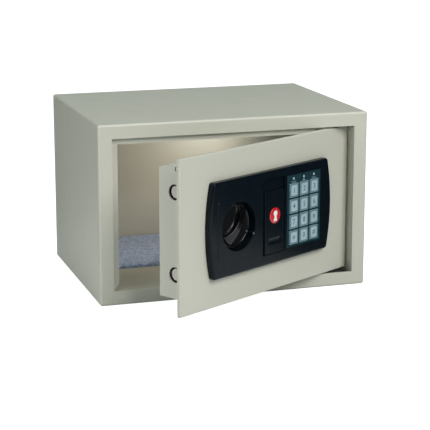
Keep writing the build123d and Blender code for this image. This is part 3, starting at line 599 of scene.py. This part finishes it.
def bowed_circle(start, end, sag):
    """Centre and radius of the circle through start and end that bows by sag to their right."""
    chord = end - start
    half = chord.length / 2
    right = Vector((chord.y, -chord.x)).normalized()
    radius = (half * half + sag * sag) / (2 * sag)
    centre = (start + end) / 2 + right * (sag - radius)
    return centre, radius


def arc_points(start, end, centre, shares):
    """Points along the shorter arc from start to end."""
    a0 = math.atan2(start.y - centre.y, start.x - centre.x)
    a1 = math.atan2(end.y - centre.y, end.x - centre.x)
    sweep = (a1 - a0 + math.pi) % (2 * math.pi) - math.pi
    radius = (start - centre).length
    return [centre + on_circle(radius, math.degrees(a0 + sweep * share)) for share in shares]


def rim_arc(start, end, shares):
    """Points round the inside of the rim, from one angle to another."""
    return [on_circle(RIM_INSIDE, start + (end - start) * share) for share in shares]


def eased(count):
    """Shares from 0 to 1, closer together near both ends."""
    return [(1 - math.cos(math.pi * i / count)) / 2 for i in range(count + 1)]


LENGTHWISE = eased(40)
CROSSWISE = eased(26)
CORNERS = [on_circle(RIM_INSIDE, at) for at in (TOP_LEFT, BOTTOM_LEFT, BOTTOM_RIGHT, TOP_RIGHT)]


def hollow(distance, width, top, floor):
    """Depth at a distance from a wall's head: straight down at first, flat after width."""
    left = 1 - min(max(distance, 0) / width, 1)
    return top + (floor - top) * math.sqrt(1 - left * left)


def grip_depth(point, circles):
    """Depth of the grip's face: crowned along its length, rounded at its edges."""
    gaps = [abs((point - centre).length - radius) for centre, radius in circles]
    gaps.append(abs(point.length - RIM_INSIDE))
    crown = GRIP_CROWN * (point.length / RIM_INSIDE) ** 2
    left = 1 - min(min(gaps), GRIP_EDGE) / GRIP_EDGE
    return crown + GRIP_EDGE * (1 - math.sqrt(1 - left * left))


def scoop(edge, circle, circles, start, end):
    """One hollow beside the grip: down from the grip's side to the floor, and up to the rim."""
    centre, radius = circle
    rows = []
    for head, rim in zip(edge, rim_arc(start, end, LENGTHWISE)):
        top = grip_depth(head, circles)
        row = []
        for share in CROSSWISE:
            point = head.lerp(rim, share)
            out = abs((point - centre).length - radius)
            wall = hollow(out, FOOT_FILLET, top, SCOOP_DROP)
            kerb = hollow(RIM_INSIDE - point.length, KERB_FILLET, RIM_DROP, SCOOP_DROP)
            row.append((point.x, min(wall, kerb), point.y))
        rows.append(row)
    return rows


def grip_face(left, right, circles):
    """The grip's face, spread between its two sides and its two ends at the rim."""
    top_left, bottom_left, bottom_right, top_right = CORNERS
    head = rim_arc(TOP_LEFT, TOP_RIGHT - 360, CROSSWISE)
    foot = rim_arc(BOTTOM_LEFT, BOTTOM_RIGHT, CROSSWISE)
    rows = []
    for down, a, b in zip(LENGTHWISE, left, right):
        row = []
        for over, c, d in zip(CROSSWISE, head, foot):
            edges = a.lerp(b, over) + c.lerp(d, down)
            top = top_left.lerp(top_right, over)
            bottom = bottom_left.lerp(bottom_right, over)
            point = edges - top.lerp(bottom, down)
            row.append((point.x, grip_depth(point, circles), point.y))
        rows.append(row)
    return rows


def rim_rows(boundary):
    """From the outline of grip and scoops up the inner wall, over the rim and round to the back."""
    rows = []
    for x, y, z in boundary:
        angle = math.atan2(z, x)
        walls = [(x, y + (RIM_DROP - y) * share, z) for share in (0, 0.5, 1)]
        ring = [(r * math.cos(angle), depth, r * math.sin(angle)) for r, depth in RIM_PROFILE]
        rows.append(walls + ring + [(0, BACK_DROP, 0)])
    return rows


def knob_surface():
    """Grids of the whole knob: two scoops, the grip between them, and the rim with the back."""
    top_left, bottom_left, bottom_right, top_right = CORNERS
    left_circle = bowed_circle(bottom_left, top_left, LEFT_SAG)
    right_circle = bowed_circle(bottom_right, top_right, RIGHT_SAG)
    circles = (left_circle, right_circle)
    left = arc_points(top_left, bottom_left, left_circle[0], LENGTHWISE)
    right = arc_points(top_right, bottom_right, right_circle[0], LENGTHWISE)
    left_scoop = scoop(left, left_circle, circles, TOP_LEFT, BOTTOM_LEFT)
    right_scoop = scoop(right, right_circle, circles, TOP_RIGHT - 360, BOTTOM_RIGHT - 360)
    face = grip_face(left, right, circles)
    boundary = [row[-1] for row in left_scoop] + face[-1][1:]
    boundary += [row[-1] for row in reversed(right_scoop)][1:] + face[0][::-1][1:]
    return [left_scoop, right_scoop, face, rim_rows(boundary)]


def lies_in_scoop(centre):
    """Whether a face with this middle belongs to the matt floor of a scoop."""
    sideways = Vector((centre.x, centre.z)).length
    return HOLLOW_DROP < centre.y < BACK_DROP - BACK_CLEAR and sideways < RIM_INSIDE


def make_knob():
    place = door_place(on_front("knob", Vector(joints["knob_turn"]["pos_m"])))
    vertices, faces = sheets_to_mesh(knob_surface())
    piece = make_piece("knob_sculpted", vertices, faces, place, weld=KNOB_WELD)
    dress(piece, "knob_black", "knob", ["knob"])
    piece.data.materials.append(materials["knob_hollow"])
    to_knob = place.inverted()
    for face in piece.data.polygons:
        if lies_in_scoop(to_knob @ face.center):
            face.material_index = 1


make_knob()


# ---------------------------------------------------------------- badge
BADGE_RADIUS = 8.6
BADGE_RISE = 1.0
BADGE_FLAT = BADGE_RADIUS - 0.4    # its edge rounds off from here
BADGE_EDGE = [(-0.1, 0.12), (0, 0.35)]    # past the radius, and below the edge of the dome
DOME = 0.45                # how much the badge's face falls away at its edge
DOME_STEPS = 8
HOLE_HEAD = 3.1            # the keyhole's round head: radius, and height above the middle
HOLE_RISE = 2.5
HOLE_START = -62           # angles of the head's outline, in degrees
HOLE_SWEEP = 304
HOLE_STEPS = 24
HOLE_FOOT = 6.0            # the flared slot's foot: depth below the middle, and half width
HOLE_FLARE = 2.9
HOLE_MIDDLE = -1.0         # height from which its rings spread out
HOLE_SHARES = (0, 0.35, 0.7, 1)
PRINT_RISE = 0.05          # it stands this much above the badge's face
PRINT_ROOT = 0.3           # and reaches this far into it


def dome_depth(x, z):
    return DOME * (x * x + z * z) / BADGE_RADIUS ** 2


def keyhole_outline():
    """A round head over a flared slot, about the badge's middle."""
    points = []
    for step in range(HOLE_STEPS + 1):
        angle = math.radians(HOLE_START + HOLE_SWEEP * step / HOLE_STEPS)
        points.append((HOLE_HEAD * math.cos(angle), HOLE_RISE + HOLE_HEAD * math.sin(angle)))
    return points + [(-HOLE_FLARE, -HOLE_FOOT), (HOLE_FLARE, -HOLE_FOOT)]


def badge_profile():
    profile = [(0, 0)]
    for step in range(1, DOME_STEPS + 1):
        radius = BADGE_FLAT * step / DOME_STEPS
        profile.append((radius, dome_depth(radius, 0)))
    profile += [(BADGE_RADIUS + past, DOME + below) for past, below in BADGE_EDGE]
    return profile + [(BADGE_RADIUS, BADGE_RISE), (0, BADGE_RISE)]


def keyhole_rings():
    """Rings of the keyhole sign, from the middle of its face over its edge to that of its back."""
    outline = keyhole_outline()
    layers = [(share, -PRINT_RISE) for share in HOLE_SHARES] + [(1, PRINT_ROOT), (0, PRINT_ROOT)]
    rings = []
    for share, drop in layers:
        ring = [
            (x * share, (z - HOLE_MIDDLE) * share + HOLE_MIDDLE)
            for x, z in outline + outline[:1]
        ]
        rings.append([(x, dome_depth(x, z) + drop, z) for x, z in ring])
    return rings


def make_badge():
    place = door_place(on_front("badge", middle("badge")))
    vertices, faces = sheets_to_mesh([turned(badge_profile())])
    disc = make_piece("badge_disc", vertices, faces, place)
    dress(disc, "badge_red", "override_lid", ["badge"])
    vertices, faces = sheets_to_mesh([keyhole_rings()])
    dress(make_piece("badge_keyhole", vertices, faces, place), "mark_white", "override_lid")


make_badge()


# ---------------------------------------------------------------- key legends and lamp marks
SIGNS = {"key_clear": "*", "key_enter": "#"}    # the other keys carry their digit
LEGEND_SIZE = 8
STAR_SIZE = 11             # the font draws a star small
STROKE_GROWTH = 0.06       # makes the strokes bolder
FRAME_INSET = 1.05
FRAME_LINE = 0.5
FRAME_CUT = 1.3            # how much of the frame's corners is cut off
PLATE_GAP = 0.3            # between the frame line and the paler plate
PLATE_CUT = 0.9
PRINT = 0.05               # how far the print stands above a key, and reaches into it
BAR_HALF = 3.6             # the bars under a lamp: half length, height, and place below the lamp
BAR_HEIGHT = 0.5
BAR_LOWS = (-3.4, -4.5)
TRIANGLE = [(-3.0, -4.6), (3.0, -4.6), (0.35, -2.0), (-0.35, -2.0)]


def half_size(node):
    """Half the width across the door and half the height of a node, in millimetres."""
    low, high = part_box(node)
    spread = [vertex.co.dot(ACROSS) for vertex in nodes[node].data.vertices]
    return (max(spread) - min(spread)) / 2 / MM, (high.z - low.z) / 2 / MM


def cut_rectangle(w, h, cut):
    """A rectangle of half width w and half height h with its corners cut off."""
    right_up = [(w, h - cut), (w - cut, h)]
    left_up = [(cut - w, h), (-w, h - cut)]
    left_down = [(-w, cut - h), (cut - w, -h)]
    right_down = [(w - cut, -h), (w, cut - h)]
    return right_up + left_up + left_down + right_down


def frame_line(half_width, half_height):
    """A thin rectangular line with cut corners, as a closed strip."""
    def loop(inset, depth):
        points = cut_rectangle(half_width - inset, half_height - inset, FRAME_CUT)
        return [(x, depth, z) for x, z in points + points[:1]]

    outer = FRAME_INSET
    inner = FRAME_INSET + FRAME_LINE
    rows = [loop(outer, PRINT), loop(outer, -PRINT), loop(inner, -PRINT), loop(inner, PRINT)]
    return sheets_to_mesh([rows + rows[:1]])


def key_plate(half_width, half_height):
    """The paler plate inside the frame line, its corners cut like the line's."""
    w = half_width - FRAME_INSET - FRAME_LINE - PLATE_GAP
    h = half_height - FRAME_INSET - FRAME_LINE - PLATE_GAP
    return plate(cut_rectangle(w, h, PLATE_CUT), -PRINT / 2, PRINT)


def make_character(name, text, size, place):
    """A printed character as a thin solid, with its middle at the place's origin."""
    curve = bpy.data.curves.new(name, "FONT")
    curve.body = text
    curve.size = size
    curve.align_x = "CENTER"
    curve.align_y = "CENTER"
    curve.extrude = PRINT
    curve.offset = STROKE_GROWTH
    writer = bpy.data.objects.new(name + "_curve", curve)
    bpy.context.scene.collection.objects.link(writer)
    bpy.context.view_layer.update()
    written = writer.evaluated_get(bpy.context.evaluated_depsgraph_get())
    mesh = bpy.data.meshes.new_from_object(written)
    bpy.data.objects.remove(writer)
    lows = [min(vertex.co[axis] for vertex in mesh.vertices) for axis in (0, 1)]
    highs = [max(vertex.co[axis] for vertex in mesh.vertices) for axis in (0, 1)]
    shift = Vector(((lows[0] + highs[0]) / 2, (lows[1] + highs[1]) / 2, 0))
    upright = Matrix(((1, 0, 0, 0), (0, 0, -1, 0), (0, 1, 0, 0), (0, 0, 0, 1)))
    mesh.transform(place @ upright @ Matrix.Translation(-shift))
    mesh.name = name
    mesh.materials.clear()
    piece = bpy.data.objects.new(name, mesh)
    bpy.context.scene.collection.objects.link(piece)
    return piece


def make_legends():
    """A frame line, a paler plate and a character on each key."""
    for key in (node for node in slots if node.startswith("key_")):
        place = door_place(on_front(key, middle(key)))
        text = SIGNS.get(key, key[-1])
        line = make_piece(key + "_frame", *frame_line(*half_size(key)), place)
        dress(line, "keypad_field", key + "_cap", material="legend")
        paler = make_piece(key + "_plate", *key_plate(*half_size(key)), place, sharp=20)
        dress(paler, "key_grey", key + "_cap", material="key_light")
        size = STAR_SIZE if text == "*" else LEGEND_SIZE
        character = make_character(key + "_legend", text, size, place)
        dress(character, "keypad_field", key + "_cap", material="legend")


make_legends()


def led_middles():
    """Where each of the three lamps is: the group's box is cut in three along the door."""
    centre = middle("status_leds")
    half_width, radius = half_size("status_leds")
    pitch = (half_width - radius) * MM
    return [centre + ACROSS * pitch * side for side in (-1, 0, 1)]


def make_lamp_marks():
    """Small printed signs under the lamps: two bars, a triangle, two bars."""
    bars = []
    for low in BAR_LOWS:
        high = low + BAR_HEIGHT
        outline = [(-BAR_HALF, low), (BAR_HALF, low), (BAR_HALF, high), (-BAR_HALF, high)]
        bars.append(plate(outline, -PRINT, PRINT))
    triangle = plate(TRIANGLE, -PRINT, PRINT)
    for number, (centre, parts) in enumerate(zip(led_middles(), (bars, [triangle], bars))):
        place = door_place(on_front("keypad_bezel", centre))
        piece = make_piece(f"lamp_mark_{number + 1}", *joined(parts), place, sharp=20)
        dress(piece, "mark_white", "door", material="lamp_print")


make_lamp_marks()


# ---------------------------------------------------------------- felt mat
MAT_CORNER = 4.0           # radius of its corners
MAT_SOFT = 1.6             # width over which its edge rolls down
MAT_ROLL = 1.5             # and how far it rolls down
MAT_WEAR = 0.65            # how far the face lies below the top of the mat's box
FUZZ = (0.28, 2.3)         # height and size of the matted nap's tufts
WAVES = (0.35, 24)         # and of the slow waves across the mat
MAT_COLUMNS = 150
MAT_LINES = 68


def in_rounded_corner(x, y, half):
    """The point, pulled in where it lies outside the mat's rounded corners."""
    corner_x = half.x - MAT_CORNER
    corner_y = half.y - MAT_CORNER
    out = Vector((max(abs(x) - corner_x, 0), max(abs(y) - corner_y, 0)))
    if min(out) > 0 and out.length > MAT_CORNER:
        out *= MAT_CORNER / out.length
        return math.copysign(corner_x + out.x, x), math.copysign(corner_y + out.y, y)
    return x, y


def mat_height(x, y, edge, half):
    """Height of the mat's face at a point that lies edge millimetres inside its outline."""
    roll = 1 - min(edge / MAT_SOFT, 1)
    fuzz = FUZZ[0] * noise.noise(Vector((x, y, 0)) / FUZZ[1])
    waves = WAVES[0] * noise.noise(Vector((x, y, 7)) / WAVES[1])
    return half.z - MAT_WEAR + (fuzz + waves) - MAT_ROLL * roll * roll


def mat_rows(half):
    rows = []
    for i in range(MAT_LINES + 1):
        y = half.y * (2 * i / MAT_LINES - 1)
        row = []
        for j in range(MAT_COLUMNS + 1):
            x = half.x * (2 * j / MAT_COLUMNS - 1)
            edge = min(half.x - abs(x), half.y - abs(y))
            rounded_x, rounded_y = in_rounded_corner(x, y, half)
            row.append((rounded_x, rounded_y, mat_height(rounded_x, rounded_y, edge, half)))
        rows.append(row)
    return rows


def mat_outline():
    """Indices of the points along the mat's outline, once round."""
    width = MAT_COLUMNS + 1
    outline = list(range(width))
    outline += [i * width + MAT_COLUMNS for i in range(1, MAT_LINES + 1)]
    outline += [MAT_LINES * width + i for i in range(MAT_COLUMNS - 1, -1, -1)]
    outline += [i * width for i in range(MAT_LINES - 1, 0, -1)]
    return outline


def make_mat():
    """Needle felt cut to the rear of the floor: matted face, soft edges, rounded corners."""
    low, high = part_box("floor_mat")
    half = (high - low) / 2 / MM
    vertices, faces = sheets_to_mesh([mat_rows(half)])
    outline = mat_outline()
    base = len(vertices)
    vertices += [(vertices[index][0], vertices[index][1], -half.z) for index in outline]
    for i in range(len(outline)):
        j = (i + 1) % len(outline)
        faces.append((outline[i], base + i, base + j, outline[j]))
    faces.append(tuple(range(base, base + len(outline))))
    piece = make_piece("felt_mat", vertices, faces, body_place(middle("floor_mat")), sharp=60)
    dress(piece, "mat_felt", "safe_body", ["floor_mat"])


make_mat()


# ---------------------------------------------------------------- return spring
WIRE = 0.38                # radius of the spring's wire
TURNS = 3.5
COIL_STEPS = 140
WIRE_SIDES = 8


def make_spring():
    """Helical return spring on the solenoid's plunger, its wire closed at both ends."""
    low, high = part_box("plunger_spring")
    outer = (high.x - low.x) / 2 / MM
    length = (high.z - low.z) / MM
    radius = outer - WIRE
    rows = []
    for step in range(COIL_STEPS + 1):
        share = step / COIL_STEPS
        angle = 2 * math.pi * TURNS * share
        height = -length / 2 + WIRE + (length - 2 * WIRE) * share
        row = []
        for side in range(WIRE_SIDES + 1):
            roll = 2 * math.pi * side / WIRE_SIDES
            reach = radius + WIRE * math.cos(roll)
            z = height + WIRE * math.sin(roll)
            row.append((reach * math.cos(angle), reach * math.sin(angle), z))
        rows.append(row)
    vertices, faces = sheets_to_mesh([rows])
    last = len(vertices) - WIRE_SIDES - 1
    faces += [tuple(range(WIRE_SIDES)), tuple(range(last, last + WIRE_SIDES))]
    place = body_place(middle("plunger_spring"))
    piece = make_piece("plunger_coil_spring", vertices, faces, place)
    dress(piece, slots["plunger_spring"], "door", ["plunger_spring"])


make_spring()
